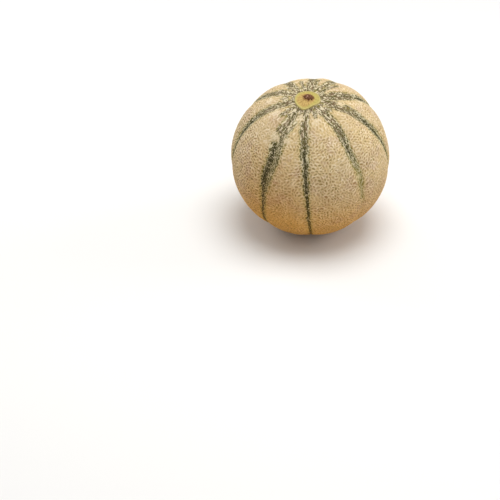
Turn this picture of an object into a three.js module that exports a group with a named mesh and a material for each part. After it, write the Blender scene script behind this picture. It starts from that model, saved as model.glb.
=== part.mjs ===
// A whole netted cantaloupe melon: one solid, resting on a small flat spot.
// Millimetres, +Z up. The origin is the middle of the spot, straight below the melon's centre, and
// the stem end leans from upright towards -Y.

import * as THREE from 'three';
import { ConvexHull } from 'three/addons/math/ConvexHull.js';

const { clamp, degToRad, euclideanModulo, lerp, radToDeg, smoothstep } = THREE.MathUtils;

// Body
const RIND_RADIUS = 75; // at the equator, on top of a rib
const STEM_FLATTENING = 0.02; // share of the radius that the stem end loses
const BLOSSOM_FLATTENING = 0.035; // the same at the other end
const STEM_DIP = 1; // how far the stem end sinks in
const BLOSSOM_DIP = 0.7; // how far the blossom end sinks in
const DIP_REACH = 20; // from the middle of a dip to where it has mostly gone
const LEAN = degToRad(14); // of the stem end, from upright
const CENTRE_HEIGHT = 71; // less than the radius down there, which leaves the flat spot

// Sutures: the furrows between the ribs. Each has its course, in degrees round the melon from the
// side that the stem end leans to, at these latitudes from the stem scar down, its strength, and
// how much fuller the rib after it is than an even one.
const SUTURE_LATITUDES = [80, 68, 57, 40, 20, 0, -30];
const SUTURES = [
  { course: [-170, -171, -172, -173, -174, -174, -174], strength: 0.35, rib: -0.3 },
  { course: [-134, -137, -139, -142, -144, -144, -144], strength: 0.45, rib: 0.5 },
  { course: [-113, -110, -107, -107, -106, -106, -106], strength: 0.4, rib: 0.4 },
  { course: [-71, -71.5, -73, -71, -69.3, -69.5, -70], strength: 0.9, rib: 0 },
  { course: [-24, -19.5, -22.3, -19.3, -21.2, -21.5, -26], strength: 1.2, rib: 0 },
  { course: [8.5, 7.2, 9.3, 11.1, 12.1, 13, 13.7], strength: 1, rib: 0.3 },
  { course: [59, 58, 57.3, 54.2, 55.5, 54, 54], strength: 0.8, rib: 0.4 },
  { course: [95, 97.5, 96.3, 94.5, 94.8, 95, 95], strength: 1, rib: -0.9 },
  { course: [123, 124, 126.5, 131, 134.5, 136, 136], strength: 0.7, rib: 1.3 },
  { course: [157, 160, 163, 167, 168, 168, 168], strength: 0.25, rib: 1.2 },
];
const TROUGH_DEPTH = 1.5; // the wide hollow between two ribs
const TROUGH_REACH = 8;
const CREASE_DEPTH = 0.8; // the narrow line at the bottom of the hollow
const CREASE_REACH = 3;
const LOWER_SHARE = 0.4; // of the depth is left on the lower half
const DEPTH_TURN = degToRad(40); // latitude above and below which the depth no longer changes
const STEM_FADE = [9, 26]; // from the stem scar's middle: furrows begin, and are at full depth
const BLOSSOM_FADE = [22, 50]; // the same at the blossom end, which leaves the flat spot whole
const RIB_SHARPNESS = 1.4; // how soon a fuller rib falls back to an even one

// Net: raised corky strands round sunken cells, wider than the real ones
const CELL_SPACING = 8.4; // least distance between the middles of two cells
const STRAND_REACH = 2; // from a strands' crossing to the corner of a cell's floor
const NET_RISE = 0.4; // of the strands' crossings
const CELL_DEPTH = 0.4; // of the cells' floors
const FLOOR_LIMIT = 0.5; // a floor's corner lies at most this share of the way to its middle
const NET_FADE = [12, 18]; // from a scar's middle: the net begins, and is at full height
const CHANNEL_START = 19; // from the stem scar's middle to the open channel of a suture
const CHANNEL_END = 36; // from there to the blossom scar's middle
const CHANNEL_STEP = 6; // between two points of the channel
const CHANNEL_SPACING = 6.3; // least distance from the channel to the middle of a cell
const CELL_TRIES = 40000;
const SEED = 11;

// Stem scar: a disc with a thin rim, radial furrows and the broken stub of the stem
const SCAR_RADIUS = 11.5;
const SCAR_EVENNESS = 0.98; // share of the radius that the rim keeps away from its lobes
// The rim's lobes and flat sides: where each is in degrees round the melon, how far it reaches to
// either side, and how far it stands out, as a share of the radius.
const SCAR_LOBES = [
  { turn: -125, reach: 35, size: 0.11 },
  { turn: -5, reach: 20, size: 0.12 },
  { turn: 45, reach: 28, size: -0.16 },
];
const RIM_HEIGHT = 0.7;
const RIM_REACH = 0.9;
const GROOVE_DEPTH = 0.5; // of the groove in the rind outside the rim
const GROOVE_OFFSET = 2; // from the rim's top to the groove's bottom
const CONE_RISE = 1.7; // the disc climbs this much from the rim to the stub
const SCAR_FURROWS = 14;
const SCAR_FURROW_DEPTH = 0.25;
const STUB_RADIUS = 4;
const STUB_RISE = 1.6; // over the disc round it
const STUB_EDGE = 0.8; // half the width of its sloping side
const STUB_OFFSET = new THREE.Vector2(0.2, 2.2); // from the disc's middle, across and along the lean
const BREAK_HEIGHT = 0.35; // of the waves on the stub's broken top
const BREAK_WAVES = 2.3; // how tight they are, in radians a millimetre
const BREAK_LOBES = 3;
const SCAR_RINGS = [
  { radius: 13.9, points: 26 },
  { radius: 12.5, points: 28 },
  { radius: 11.5, points: 30 },
  { radius: 10.5, points: 28 },
  { radius: 8.6, points: 28 },
  { radius: 6.8, points: 22 },
];
const STUB_RINGS = [
  { radius: 4.9, points: 14 },
  { radius: 3.2, points: 10 },
  { radius: 1.4, points: 5 },
];

// Blossom scar: a small corky button at the lower end
const BUTTON_RADIUS = 4.5;
const BUTTON_RISE = 0.7;
const BUTTON_RINGS = [
  { radius: 6.6, points: 14 },
  { radius: 4.5, points: 10 },
  { radius: 2.2, points: 6 },
];

const RIND_COLOUR = 0xd3bd93;

// 1 at zero, falling smoothly to nothing by about 2.
function bell(x) {
  return Math.exp(-x * x);
}

// A repeatable random draw from 0 to 1 (mulberry32).
function seededRandom(seed) {
  let state = seed;
  return () => {
    state = (state + 0x6d2b79f5) | 0;
    let mixed = Math.imul(state ^ (state >>> 15), 1 | state);
    mixed = (mixed + Math.imul(mixed ^ (mixed >>> 7), 61 | mixed)) ^ mixed;
    return ((mixed ^ (mixed >>> 14)) >>> 0) / 4294967296;
  };
}

// The unit vector for a place on the melon, in the melon's own frame with the stem at +Z.
function direction(latitude, longitude) {
  return new THREE.Vector3(
    Math.cos(latitude) * Math.sin(longitude),
    -Math.cos(latitude) * Math.cos(longitude),
    Math.sin(latitude),
  );
}

// A turn as an angle between half a turn back and half a turn on.
function shortestTurn(turn) {
  return euclideanModulo(turn + Math.PI, 2 * Math.PI) - Math.PI;
}

// Where a suture runs at a latitude.
function sutureLongitude(suture, latitude) {
  const level = clamp(radToDeg(latitude), SUTURE_LATITUDES.at(-1), SUTURE_LATITUDES[0]);
  const next = Math.max(1, SUTURE_LATITUDES.findIndex((below) => below <= level));
  const above = SUTURE_LATITUDES[next - 1];
  const share = (above - level) / (above - SUTURE_LATITUDES[next]);
  return degToRad(lerp(suture.course[next - 1], suture.course[next], share));
}

// How far a place lies from a suture, across it, in millimetres.
function distanceAcross(suture, latitude, longitude) {
  const turn = shortestTurn(longitude - sutureLongitude(suture, latitude));
  return Math.abs(RIND_RADIUS * Math.cos(latitude) * turn);
}

// Millimetres over the rind from the middle of the nearer scar.
function distanceFromEnd(latitude) {
  return RIND_RADIUS * (Math.PI / 2 - Math.abs(latitude));
}

function sutureDepth(latitude, longitude) {
  const height = smoothstep(latitude, -DEPTH_TURN, DEPTH_TURN);
  const fade = latitude > 0 ? STEM_FADE : BLOSSOM_FADE;
  const share = lerp(LOWER_SHARE, 1, height) * smoothstep(distanceFromEnd(latitude), ...fade);
  let depth = 0;
  for (const suture of SUTURES) {
    const across = distanceAcross(suture, latitude, longitude);
    const trough = TROUGH_DEPTH * bell(across / TROUGH_REACH);
    const crease = CREASE_DEPTH * bell(across / CREASE_REACH);
    depth += suture.strength * share * (trough + crease);
  }
  return depth;
}

// How much fuller the ribs are here than even ones.
function ribFullness(latitude, longitude) {
  let fullness = 0;
  SUTURES.forEach((suture, i) => {
    const start = sutureLongitude(suture, latitude);
    const end = sutureLongitude(SUTURES[(i + 1) % SUTURES.length], latitude);
    const half = euclideanModulo(end - start, 2 * Math.PI) / 2;
    const turn = shortestTurn(longitude - start - half);
    fullness += suture.rib * bell((RIB_SHARPNESS * turn) / half);
  });
  return fullness * Math.cos(latitude);
}

// How far out the stem scar reaches here, as a share of its radius.
function scarOutline(longitude) {
  return SCAR_LOBES.reduce((outline, { turn, reach, size }) => {
    const away = radToDeg(shortestTurn(longitude - degToRad(turn)));
    return outline + size * bell(away / reach);
  }, SCAR_EVENNESS);
}

function stemScarHeight(latitude, longitude) {
  const realOut = RIND_RADIUS * (Math.PI / 2 - latitude);
  const out = realOut / scarOutline(longitude);
  const rim = RIM_HEIGHT * bell((out - SCAR_RADIUS) / RIM_REACH);
  const groove = GROOVE_DEPTH * bell((out - SCAR_RADIUS - GROOVE_OFFSET) / RIM_REACH);
  const inward = clamp(1 - out / SCAR_RADIUS, 0, 1);
  const furrow = SCAR_FURROW_DEPTH * Math.cos(SCAR_FURROWS * longitude) * Math.sin(Math.PI * inward);
  const fromStub = Math.hypot(
    realOut * Math.sin(longitude) - STUB_OFFSET.x,
    -realOut * Math.cos(longitude) - STUB_OFFSET.y,
  );
  const foot = STUB_RADIUS + STUB_EDGE;
  const stub = STUB_RISE * (1 - smoothstep(fromStub, STUB_RADIUS - STUB_EDGE, foot));
  const wave = Math.sin(BREAK_WAVES * fromStub + BREAK_LOBES * longitude);
  const brokenTop = BREAK_HEIGHT * wave * bell(fromStub / STUB_RADIUS);
  return rim - groove + CONE_RISE * inward + furrow + stub + brokenTop;
}

function blossomScarHeight(latitude) {
  const out = RIND_RADIUS * (Math.PI / 2 + latitude);
  return BUTTON_RISE * bell((out - BUTTON_RADIUS / 2) / (BUTTON_RADIUS / 2));
}

// From the melon's centre to the rind, between the net's strands and its cells.
function rindRadius(latitude, longitude) {
  const dip = bell(distanceFromEnd(latitude) / DIP_REACH) * (latitude > 0 ? STEM_DIP : BLOSSOM_DIP);
  const flattening = latitude > 0 ? STEM_FLATTENING : BLOSSOM_FLATTENING;
  const body = RIND_RADIUS * (1 - flattening * Math.sin(latitude) ** 2) - dip;
  const scars = stemScarHeight(latitude, longitude) + blossomScarHeight(latitude);
  const ribs = ribFullness(latitude, longitude) - sutureDepth(latitude, longitude);
  return body + ribs + scars;
}

// The latitude and longitude of a direction.
function placeOf(outward) {
  return [Math.asin(clamp(outward.z, -1, 1)), Math.atan2(outward.x, -outward.y)];
}

// A point of the surface, raised by as much of the net's own height as there is at that place.
function surfacePoint(outward, height) {
  const [latitude, longitude] = placeOf(outward);
  const net = height * smoothstep(distanceFromEnd(latitude), ...NET_FADE);
  const point = outward.clone().multiplyScalar(rindRadius(latitude, longitude) + net);
  point.applyAxisAngle(new THREE.Vector3(1, 0, 0), LEAN);
  if (point.z < -CENTRE_HEIGHT) point.multiplyScalar(-CENTRE_HEIGHT / point.z);
  point.z = Math.max(0, point.z + CENTRE_HEIGHT);
  return point;
}

// Places in rings round a point near an end of the melon, given across and along the lean. An
// outline stretches the rings round that end.
function ringPlaces(rings, end, middle, random, outline = () => 1) {
  const places = [];
  for (const ring of rings) {
    const start = random();
    for (let i = 0; i < ring.points; i++) {
      const turn = (2 * Math.PI * (i + start)) / ring.points;
      const x = middle.x + ring.radius * Math.cos(turn);
      const y = middle.y + ring.radius * Math.sin(turn);
      const longitude = Math.atan2(x, -y);
      const out = Math.hypot(x, y) * outline(longitude);
      places.push(direction(end * (Math.PI / 2 - out / RIND_RADIUS), longitude));
    }
  }
  return places;
}

// Points one after another down the middle of a suture.
function channelPlaces(suture) {
  const last = RIND_RADIUS * Math.PI - CHANNEL_END;
  const places = [];
  for (let out = CHANNEL_START; out < last; out += CHANNEL_STEP) {
    const latitude = Math.PI / 2 - out / RIND_RADIUS;
    places.push(direction(latitude, sutureLongitude(suture, latitude)));
  }
  return places;
}

// Random places for the middles of net cells, wherever there is room between the places taken.
function fillWithCells(channels, smooth, random) {
  const cells = [];
  const isClear = (place, others, spacing) => {
    const closest = Math.cos(spacing / RIND_RADIUS);
    return others.every((other) => other.dot(place) < closest);
  };
  for (let i = 0; i < CELL_TRIES; i++) {
    const place = direction(Math.asin(2 * random() - 1), 2 * Math.PI * random());
    const scarReach = SCAR_RINGS[0].radius * scarOutline(Math.atan2(place.x, -place.y));
    const inStemScar = RIND_RADIUS * Math.acos(place.z) < scarReach;
    const isFree = !inStemScar && isClear(place, channels.flat(), CHANNEL_SPACING);
    if (isFree && isClear(place, [...smooth, ...cells], CELL_SPACING)) cells.push(place);
  }
  return cells;
}

// Where the net's strands cross: the middle of three neighbouring places.
function crossingOf(face) {
  const corners = [face.edge, face.edge.next, face.edge.prev].map((edge) => edge.head().point);
  return corners.reduce((sum, corner) => sum.add(corner), new THREE.Vector3()).normalize();
}

// The hull's edges out from each of its points, anticlockwise as seen from outside.
function spokesOf(hull) {
  const spokes = new Map();
  for (const face of hull.faces) {
    for (const edge of [face.edge, face.edge.next, face.edge.prev]) {
      const place = edge.tail().point;
      if (spokes.has(place)) continue;
      const turn = [edge];
      for (let next = edge.prev.twin; next !== edge; next = next.prev.twin) turn.push(next);
      spokes.set(place, turn);
    }
  }
  return spokes;
}

// A corner of a cell's floor: STRAND_REACH in from a crossing, towards the cell's middle.
function floorCorner(cell, crossing) {
  const share = Math.min(FLOOR_LIMIT, STRAND_REACH / (RIND_RADIUS * cell.angleTo(crossing)));
  return surfacePoint(crossing.clone().lerp(cell, share).normalize(), -CELL_DEPTH);
}

// Which corner of a cell's floor is nearest to its middle. The floor is fanned out from there, so
// that a hollow in the floor's outline folds no triangle over.
function innermost(cell, corners) {
  const middle = surfacePoint(cell, -CELL_DEPTH);
  const distances = corners.map((corner) => corner.distanceTo(middle));
  return distances.indexOf(Math.min(...distances));
}

// Every place is ringed by crossings. A net cell has a flat floor inside its ring, a smooth place
// has one point in the middle, and neighbouring places of a channel are joined along its bottom.
function rindGeometry(channels, smooth, cells) {
  const hull = new ConvexHull().setFromPoints([...channels.flat(), ...smooth, ...cells]);
  const crossings = hull.faces.map(crossingOf);
  const crossingIndex = new Map(hull.faces.map((face, i) => [face, i]));
  const points = crossings.map((crossing) => surfacePoint(crossing, NET_RISE));
  const middleIndex = new Map();
  const channelOf = new Map(channels.flatMap((places) => places.map((place) => [place, places])));
  for (const place of channelOf.keys()) {
    middleIndex.set(place, points.push(surfacePoint(place, -CELL_DEPTH)) - 1);
  }
  for (const place of smooth) middleIndex.set(place, points.push(surfacePoint(place, 0)) - 1);
  const triangles = [];
  for (const [place, spokes] of spokesOf(hull)) {
    const ring = spokes.map((spoke) => crossingIndex.get(spoke.face));
    const middle = middleIndex.get(place);
    const floor = points.length;
    const corners = middle === undefined ? ring.map((i) => floorCorner(place, crossings[i])) : [];
    const apex = innermost(place, corners);
    points.push(...corners);
    ring.forEach((corner, i) => {
      const next = (i + 1) % ring.length;
      const neighbour = spokes[next].head().point;
      if (channelOf.has(place) && channelOf.get(place) === channelOf.get(neighbour)) {
        triangles.push(middle, corner, middleIndex.get(neighbour));
      } else if (middle !== undefined) {
        triangles.push(middle, corner, ring[next]);
      } else {
        triangles.push(floor + i, corner, ring[next], floor + i, ring[next], floor + next);
        if (i > 1) {
          const [before, here] = [i - 1, i].map((step) => floor + ((apex + step) % ring.length));
          triangles.push(floor + apex, before, here);
        }
      }
    });
  }
  const geometry = new THREE.BufferGeometry().setFromPoints(points);
  geometry.setIndex(triangles);
  geometry.computeVertexNormals();
  return geometry;
}

function makeMelon() {
  const random = seededRandom(SEED);
  const origin = new THREE.Vector2();
  const channels = SUTURES.map(channelPlaces);
  const smooth = [
    direction(-Math.PI / 2, 0),
    ...ringPlaces(BUTTON_RINGS, -1, origin, random),
    ...ringPlaces(SCAR_RINGS, 1, origin, random, scarOutline),
    ...ringPlaces(STUB_RINGS, 1, STUB_OFFSET, random),
  ];
  const cells = fillWithCells(channels, smooth, random);
  const rind = new THREE.MeshStandardMaterial({ color: RIND_COLOUR, roughness: 0.85, metalness: 0 });
  const melon = new THREE.Mesh(rindGeometry(channels, smooth, cells), rind);
  melon.name = 'melon';
  return melon;
}

const part = new THREE.Group();
part.add(makeMelon());

export default part;
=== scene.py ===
"""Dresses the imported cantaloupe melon: its netted rind, stem scar, broken stub, blossom scar, and
the studio round it."""

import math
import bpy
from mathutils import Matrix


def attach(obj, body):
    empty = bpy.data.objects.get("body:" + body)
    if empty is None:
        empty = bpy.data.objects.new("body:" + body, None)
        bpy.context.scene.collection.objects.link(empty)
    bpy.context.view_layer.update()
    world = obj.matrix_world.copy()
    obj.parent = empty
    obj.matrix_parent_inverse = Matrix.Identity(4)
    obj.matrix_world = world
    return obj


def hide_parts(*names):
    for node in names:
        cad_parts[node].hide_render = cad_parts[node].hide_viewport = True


bl_info = {
    "name": "Cantaloupe Melon",
    "version": (1, 0, 0),
    "blender": (4, 5, 0),
    "location": "View3D > Sidebar > Melon",
    "description": "Makes a whole netted cantaloupe melon over its packed solid",
    "category": "Object",
}

import bpy
import numpy as np
from bpy.props import FloatProperty, FloatVectorProperty, IntProperty, PointerProperty
from mathutils.geometry import delaunay_2d_cdt

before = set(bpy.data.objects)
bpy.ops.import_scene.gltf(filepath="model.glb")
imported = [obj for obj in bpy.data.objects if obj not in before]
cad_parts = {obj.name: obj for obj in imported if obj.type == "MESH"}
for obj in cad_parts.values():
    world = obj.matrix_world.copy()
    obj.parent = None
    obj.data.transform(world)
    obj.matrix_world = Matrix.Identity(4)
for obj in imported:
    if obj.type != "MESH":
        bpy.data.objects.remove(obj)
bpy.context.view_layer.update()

MILLIMETRE = 0.001

# Where each suture runs at these latitudes, from the stem scar down: in degrees round the melon
# from the side that the stem end leans to. Then how deep it is, as a share, and how much fuller
# the rib after it is than an even one, in millimetres.
SUTURE_LATITUDES = (80, 68, 57, 40, 20, 0, -30)
SUTURES = (
    ((-170, -171, -172, -173, -174, -174, -174), 0.35, -0.3),
    ((-134, -137, -139, -142, -144, -144, -144), 0.45, 0.5),
    ((-113, -110, -107, -107, -106, -106, -106), 0.4, 0.4),
    ((-71, -71.5, -73, -71, -69.3, -69.5, -70), 0.9, 0),
    ((-24, -19.5, -22.3, -19.3, -21.2, -21.5, -26), 1.2, 0),
    ((8.5, 7.2, 9.3, 11.1, 12.1, 13, 13.7), 1, 0.3),
    ((59, 58, 57.3, 54.2, 55.5, 54, 54), 0.8, 0.4),
    ((95, 97.5, 96.3, 94.5, 94.8, 95, 95), 1, -0.9),
    ((123, 124, 126.5, 131, 134.5, 136, 136), 0.7, 1.3),
    ((157, 160, 163, 167, 168, 168, 168), 0.25, 1.2),
)
# The green stripe along each suture: its width in millimetres and how dark it is, at these
# latitudes from the stem scar down.
STRIPE_LATITUDES = (80, 68, 55, 42, 28, 20, 12, -5, -25, -50)
STRIPE_WIDTHS = (
    (6, 8, 9, 8, 6.5, 5, 5, 4, 3, 1),
    (6, 8, 9, 8, 6, 5, 5, 4, 2, 0),
    (6, 10, 10, 8, 6, 5, 5, 4, 2, 0),
    (6, 10, 9, 8.5, 6, 5.5, 5, 3.5, 2, 0),
    (6, 12.5, 15.5, 13.5, 12, 11, 6.5, 3.8, 3, 1),
    (6, 9, 8.3, 8, 5.5, 5, 3, 2.5, 2.2, 2),
    (6, 10, 8.8, 7.5, 6, 4.5, 4, 0.8, 0, 0),
    (6, 14, 11, 9, 8, 6, 4.5, 4, 2, 0),
    (6, 12, 10.5, 8.5, 7.5, 6, 5, 4, 2, 0),
    (6, 8, 8.5, 8, 6.5, 5.5, 5, 4, 2, 0),
)
STRIPE_DARKNESS = (
    (0.8, 0.8, 0.9, 0.9, 0.9, 0.8, 0.8, 0.7, 0.6, 0.5),
    (0.8, 0.8, 0.9, 0.9, 0.9, 0.8, 0.8, 0.6, 0.4, 0.3),
    (0.8, 0.8, 0.9, 0.9, 0.9, 0.8, 0.8, 0.6, 0.4, 0.3),
    (0.8, 0.8, 0.9, 1, 0.9, 0.9, 0.9, 0.7, 0.5, 0.3),
    (0.8, 0.7, 0.75, 0.85, 0.9, 0.9, 0.8, 0.85, 0.85, 0.6),
    (0.8, 0.8, 0.9, 1, 1, 1, 1, 1, 1, 0.9),
    (0.8, 0.8, 0.9, 0.85, 0.55, 0.3, 0.2, 0.1, 0.1, 0.1),
    (0.95, 1, 0.95, 0.9, 0.9, 0.9, 0.8, 0.7, 0.5, 0.3),
    (0.95, 1, 1, 1, 0.9, 0.8, 0.8, 0.6, 0.4, 0.2),
    (0.8, 0.8, 0.9, 0.9, 0.8, 0.7, 0.7, 0.5, 0.4, 0.2),
)
# Short green streaks that start at the stem scar: where each runs, the latitude where it ends,
# and its width in millimetres.
SHORT_STRIPES = (
    (150, 57, 4.5),
    (179, 58, 5),
    (-155, 60, 4),
    (-127, 62, 3.5),
    (-118, 62, 2.5),
    (-45, 66, 4),
    (32, 70, 4),
)
# Patches of cork that bridge a stripe or scuff a rib: latitude, longitude, and reach in
# millimetres.
BRIDGES = (
    (53.5, -27.8, 4.2),
    (53, -12, 3.5),
    (25.7, 1.6, 2.4),
    (20, 54, 2.4),
    (73, -5, 3.5),
    (69, 30, 3),
    (66, 106, 3.5),
    (66, -58, 4),
    (48, 123, 2.5),
    (60, -90, 3),
)
# How far the darkest part of each stripe lies to one side, as a share of the stripe's width.
CORE_SHIFTS = (0, 0, 0, 0, -0.2, 0, 0, 0, 0, 0)
# The stem scar isn't quite round. Its lobes and flat sides: where each is, in degrees round the
# melon, how far it reaches to either side, and how far it stands out, as a share of the radius.
SCAR_LOBES = ((-125, 35, 0.11), (-5, 20, 0.12), (45, 28, -0.16))
# The middle of the broken stub, to the right of the stem end and behind it.
STUB_MIDDLE = (0.2 * MILLIMETRE, 2.3 * MILLIMETRE)
# How many cracks run out from the stub, and what their places are drawn from.
CRACKS = 9
CRACK_SEED = 5
# A scar's underside, hidden in the rind, is this share of its top's reach.
UNDERSIDE_SHARE = 0.9
# How large a rib's pits are beside an even one, how much longer than wide, and how far the line
# that they are longest along strays, in radians.
PIT_SIZES = (0.7, 1.3)
PIT_LENGTHS = (0.2, 1.2)
PIT_STRAY = 0.3
# How corky the shoulder of a strand is, as a share of its top: on a rib, and in a stripe.
SHOULDERS = (0.66, 0.25)
# Of a stripe's cells, the share that is cork all over.
WHOLE_CORK = 0.015
# How green a place is where the finer cells of the stripes take over.
FINE_CELLS_AT = 0.4
# The furthest that a cell's floor may reach, and twice the least area of a triangle beside it, on
# a ball of radius 1.
FURTHEST_REACH = 0.86
LEAST_AREA = 3e-6
# Distances over the rind from the stem end, in millimetres, where something begins or ends.
SUTURES_BEGIN = (9, 26)
GREEN_RING_END = (15, 18)
FAN_END = (22, 36)
LONG_CELLS_END = (24, 50)
FINE_CELLS_BEGIN = (30, 45)
CORES_BEGIN = (42, 60)
# The same from the blossom end.
SUTURES_END = (22, 50)
# The furrows reach their full depth at this latitude, and their least at the same one below.
UPPER_HALF = math.radians(40)


# ---- Sizes and colours that a user would change ----


def number(name, description, default, **kind):
    return FloatProperty(name=name, description=description, default=default, **kind)


def length(name, description, default):
    """A size in millimetres, kept in metres."""
    return number(name, description, default * MILLIMETRE, unit="LENGTH", precision=5)


def angle(name, description, default):
    """An angle in degrees, kept in radians."""
    return number(name, description, math.radians(default), subtype="ANGLE")


def share(name, description, default):
    return number(name, description, default, subtype="FACTOR")


def power(name, description, default):
    return number(name, description, default, unit="POWER")


def colour(name, description, default):
    kind = {"subtype": "COLOR", "size": 3, "min": 0, "max": 1}
    return FloatVectorProperty(name=name, description=description, default=default, **kind)


class MelonBodySizes(bpy.types.PropertyGroup):
    """The shape of the whole fruit"""

    radius: length("Radius", "From the middle to the top of a rib at the equator", 75)
    stem_flattening: share("Stem flattening", "Share of the radius lost at the stem", 0.02)
    blossom_flattening: share("Blossom flattening", "Share of the radius lost below", 0.035)
    lean: angle("Lean", "Of the stem end, from upright", 14)
    centre_height: length("Centre height", "Of the melon's middle over the floor", 71)
    stem_dip: length("Stem dip", "How far the stem end sinks in", 1)
    blossom_dip: length("Blossom dip", "How far the blossom end sinks in", 0.7)
    dip_reach: length("Dip reach", "From the middle of a dip to where it has mostly gone", 20)
    trough_depth: length("Trough depth", "The wide hollow between two ribs", 1.5)
    trough_reach: length("Trough reach", "Half the width of the wide hollow", 8)
    crease_depth: length("Crease depth", "The narrow line at the bottom of the hollow", 0.8)
    crease_reach: length("Crease reach", "Half the width of the narrow line", 3)
    lower_share: share("Lower share", "Of the furrows' depth that the lower half keeps", 0.4)


class MelonNetSizes(bpy.types.PropertyGroup):
    """The corky net over the rind"""

    spacing: length("Spacing", "Between the middles of two cells", 3)
    unevenness: share("Unevenness", "How far cells stray from even rows", 0.42)
    stripe_share: share("Stripe share", "Of the spacing that cells keep in a green stripe", 0.76)
    rise: length("Rise", "Of the strands over the rind", 0.2)
    pit_depth: length("Pit depth", "Of a cell on a rib, under the rind", 0.28)
    stripe_depth: length("Stripe depth", "Of a cell's floor in a green stripe", 0.2)
    pit_share: share("Pit share", "Of a rib's cell inside its strands' shoulders", 0.66)
    floor_share: share("Floor share", "Of a stripe's cell that is bare floor", 0.6)
    broken: share("Broken", "Share of the crossings that are missing in a stripe", 0.06)
    core_width: length("Core width", "Of the bare dark line down a stripe", 0.8)
    seed: IntProperty(name="Seed", description="Of the cells' places", default=7)


class MelonScarSizes(bpy.types.PropertyGroup):
    """The stem scar, the stub on it, and the blossom scar"""

    radius: length("Radius", "Of the stem scar's rim", 11.5)
    rim_height: length("Rim height", "Over the disc", 0.7)
    rim_reach: length("Rim reach", "Half the width of the rim", 0.9)
    groove_depth: length("Groove depth", "Of the groove outside the rim", 0.5)
    cone_rise: length("Cone rise", "Of the disc from the rim to the stub", 1.7)
    furrow_depth: length("Furrow depth", "Of the disc's radial furrows", 0.25)
    crack_depth: length("Crack depth", "Of the cracks that run out from the stub", 0.3)
    crack_reach: length("Crack reach", "Half the width of a crack", 0.28)
    stub_radius: length("Stub radius", "Of the broken stem", 4.4)
    stub_rise: length("Stub rise", "Over the disc round it", 1.3)
    button_radius: length("Button radius", "Of the blossom scar", 4.5)
    button_rise: length("Button rise", "Of the blossom scar's ring", 0.7)


class MelonColours(bpy.types.PropertyGroup):
    """The colours of the fruit"""

    cork: colour("Cork", "Of the net", (0.60, 0.45, 0.25))
    cork_yellow: colour("Yellow cork", "Of the net where it is yellower", (0.64, 0.475, 0.24))
    cork_pink: colour("Pink cork", "Of the net where it is greyer and pinker", (0.58, 0.415, 0.265))
    # Pale dry cork; also laid on the tops of the strands as painted highlight.
    cork_light: colour("Light cork", "Of the driest strands and flakes", (0.84, 0.72, 0.52))
    # Tint of the lower side: partly a yellower ground spot, partly painted warm bounce light and
    # painted shade.
    ground: colour("Ground side", "Tint of the side that lay on the ground", (0.83, 0.57, 0.25))
    pit: colour("Pit", "Of the skin in a rib's cells", (0.34, 0.21, 0.09))
    pit_green: colour("Green pit", "Of the greenest cells on a rib", (0.3, 0.215, 0.08))
    stripe: colour("Stripe", "Of the darkest skin in a green stripe", (0.04, 0.035, 0.008))
    stripe_grey: colour("Grey stripe", "Of the greyer streaks in a stripe", (0.14, 0.12, 0.042))
    stripe_brown: colour("Brown stripe", "Of its browner streaks by the stem", (0.175, 0.105, 0.055))
    thread: colour("Thread", "Of the fine cork threads in a stripe", (0.62, 0.56, 0.38))
    fringe: colour("Fringe", "Of the yellow-green skin beside a stripe", (0.22, 0.18, 0.038))
    fringe_light: colour("Light fringe", "Of the net beside a stripe", (0.48, 0.41, 0.17))
    disc: colour("Disc", "Of the stem scar", (0.56, 0.385, 0.125))
    disc_brown: colour("Brown disc", "Of the stains and furrows on the scar", (0.24, 0.11, 0.035))
    rim: colour("Rim", "Of the outer part of the scar", (0.47, 0.385, 0.105))
    rim_light: colour("Light rim", "Of the thin ridge round the scar", (0.56, 0.47, 0.2))
    stub: colour("Stub", "Of the broken stem", (0.13, 0.05, 0.017))
    stub_light: colour("Light stub", "Of its torn fibres", (0.44, 0.25, 0.17))
    button: colour("Button", "Of the blossom scar", (0.28, 0.13, 0.03))
    button_rim: colour("Button rim", "Of its ring", (0.62, 0.34, 0.08))


class MelonStudioSettings(bpy.types.PropertyGroup):
    """The floor, the lights and the camera"""

    floor_colour: colour("Floor", "Of the floor", (0.86, 0.85, 0.83))
    floor_size: number("Floor size", "Side of the floor", 8, unit="LENGTH")
    world_strength: number("World strength", "Of the light from all round", 0.46)
    key_power: power("Key power", "Of the large soft light above", 12.5)
    right_power: power("Right power", "Of the soft light at the right", 5)
    left_power: power("Left power", "Of the soft light at the left", 4)
    camera_place: FloatVectorProperty(
        name="Camera place",
        description="Where the camera stands",
        default=(0.2265, -0.9594, 0.6564),
        subtype="TRANSLATION",
        unit="LENGTH",
    )
    camera_pitch: angle("Camera pitch", "How far the camera looks down", 35.148)
    camera_turn: angle("Camera turn", "How far the camera is turned to the left", 16.6)
    camera_lens: number("Camera lens", "Focal length in millimetres", 86.77)


# ---- The melon's form ----


def bell(x):
    """1 at zero, falling smoothly to nothing by about 2."""
    return np.exp(-x * x)


def smooth_step(x, start, end):
    t = np.clip((x - start) / (end - start), 0, 1)
    return t * t * (3 - 2 * t)


def unit(vectors):
    """The same directions, each with a length of 1."""
    return vectors / np.linalg.norm(vectors, axis=-1, keepdims=True)


def ripple(places, wavelength, seed, waves=24):
    """A smooth random field over places, about 0 on average and 1 in strength."""
    draw = np.random.default_rng(seed)
    heading = unit(draw.normal(size=(waves, 3)))
    phase = draw.uniform(0, 2 * np.pi, waves)
    turns = places @ heading.T * (2 * np.pi / wavelength) + phase
    return np.sin(turns).sum(axis=1) * math.sqrt(2 / waves)


def outward(latitude, longitude):
    """Unit vectors in the melon's own frame, with the stem at +Z."""
    across = np.cos(latitude) * np.sin(longitude)
    along = -np.cos(latitude) * np.cos(longitude)
    return np.stack([across, along, np.sin(latitude)], axis=-1)


def in_millimetres(*parts):
    return np.stack(np.broadcast_arrays(*parts), axis=1) / MILLIMETRE


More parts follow.
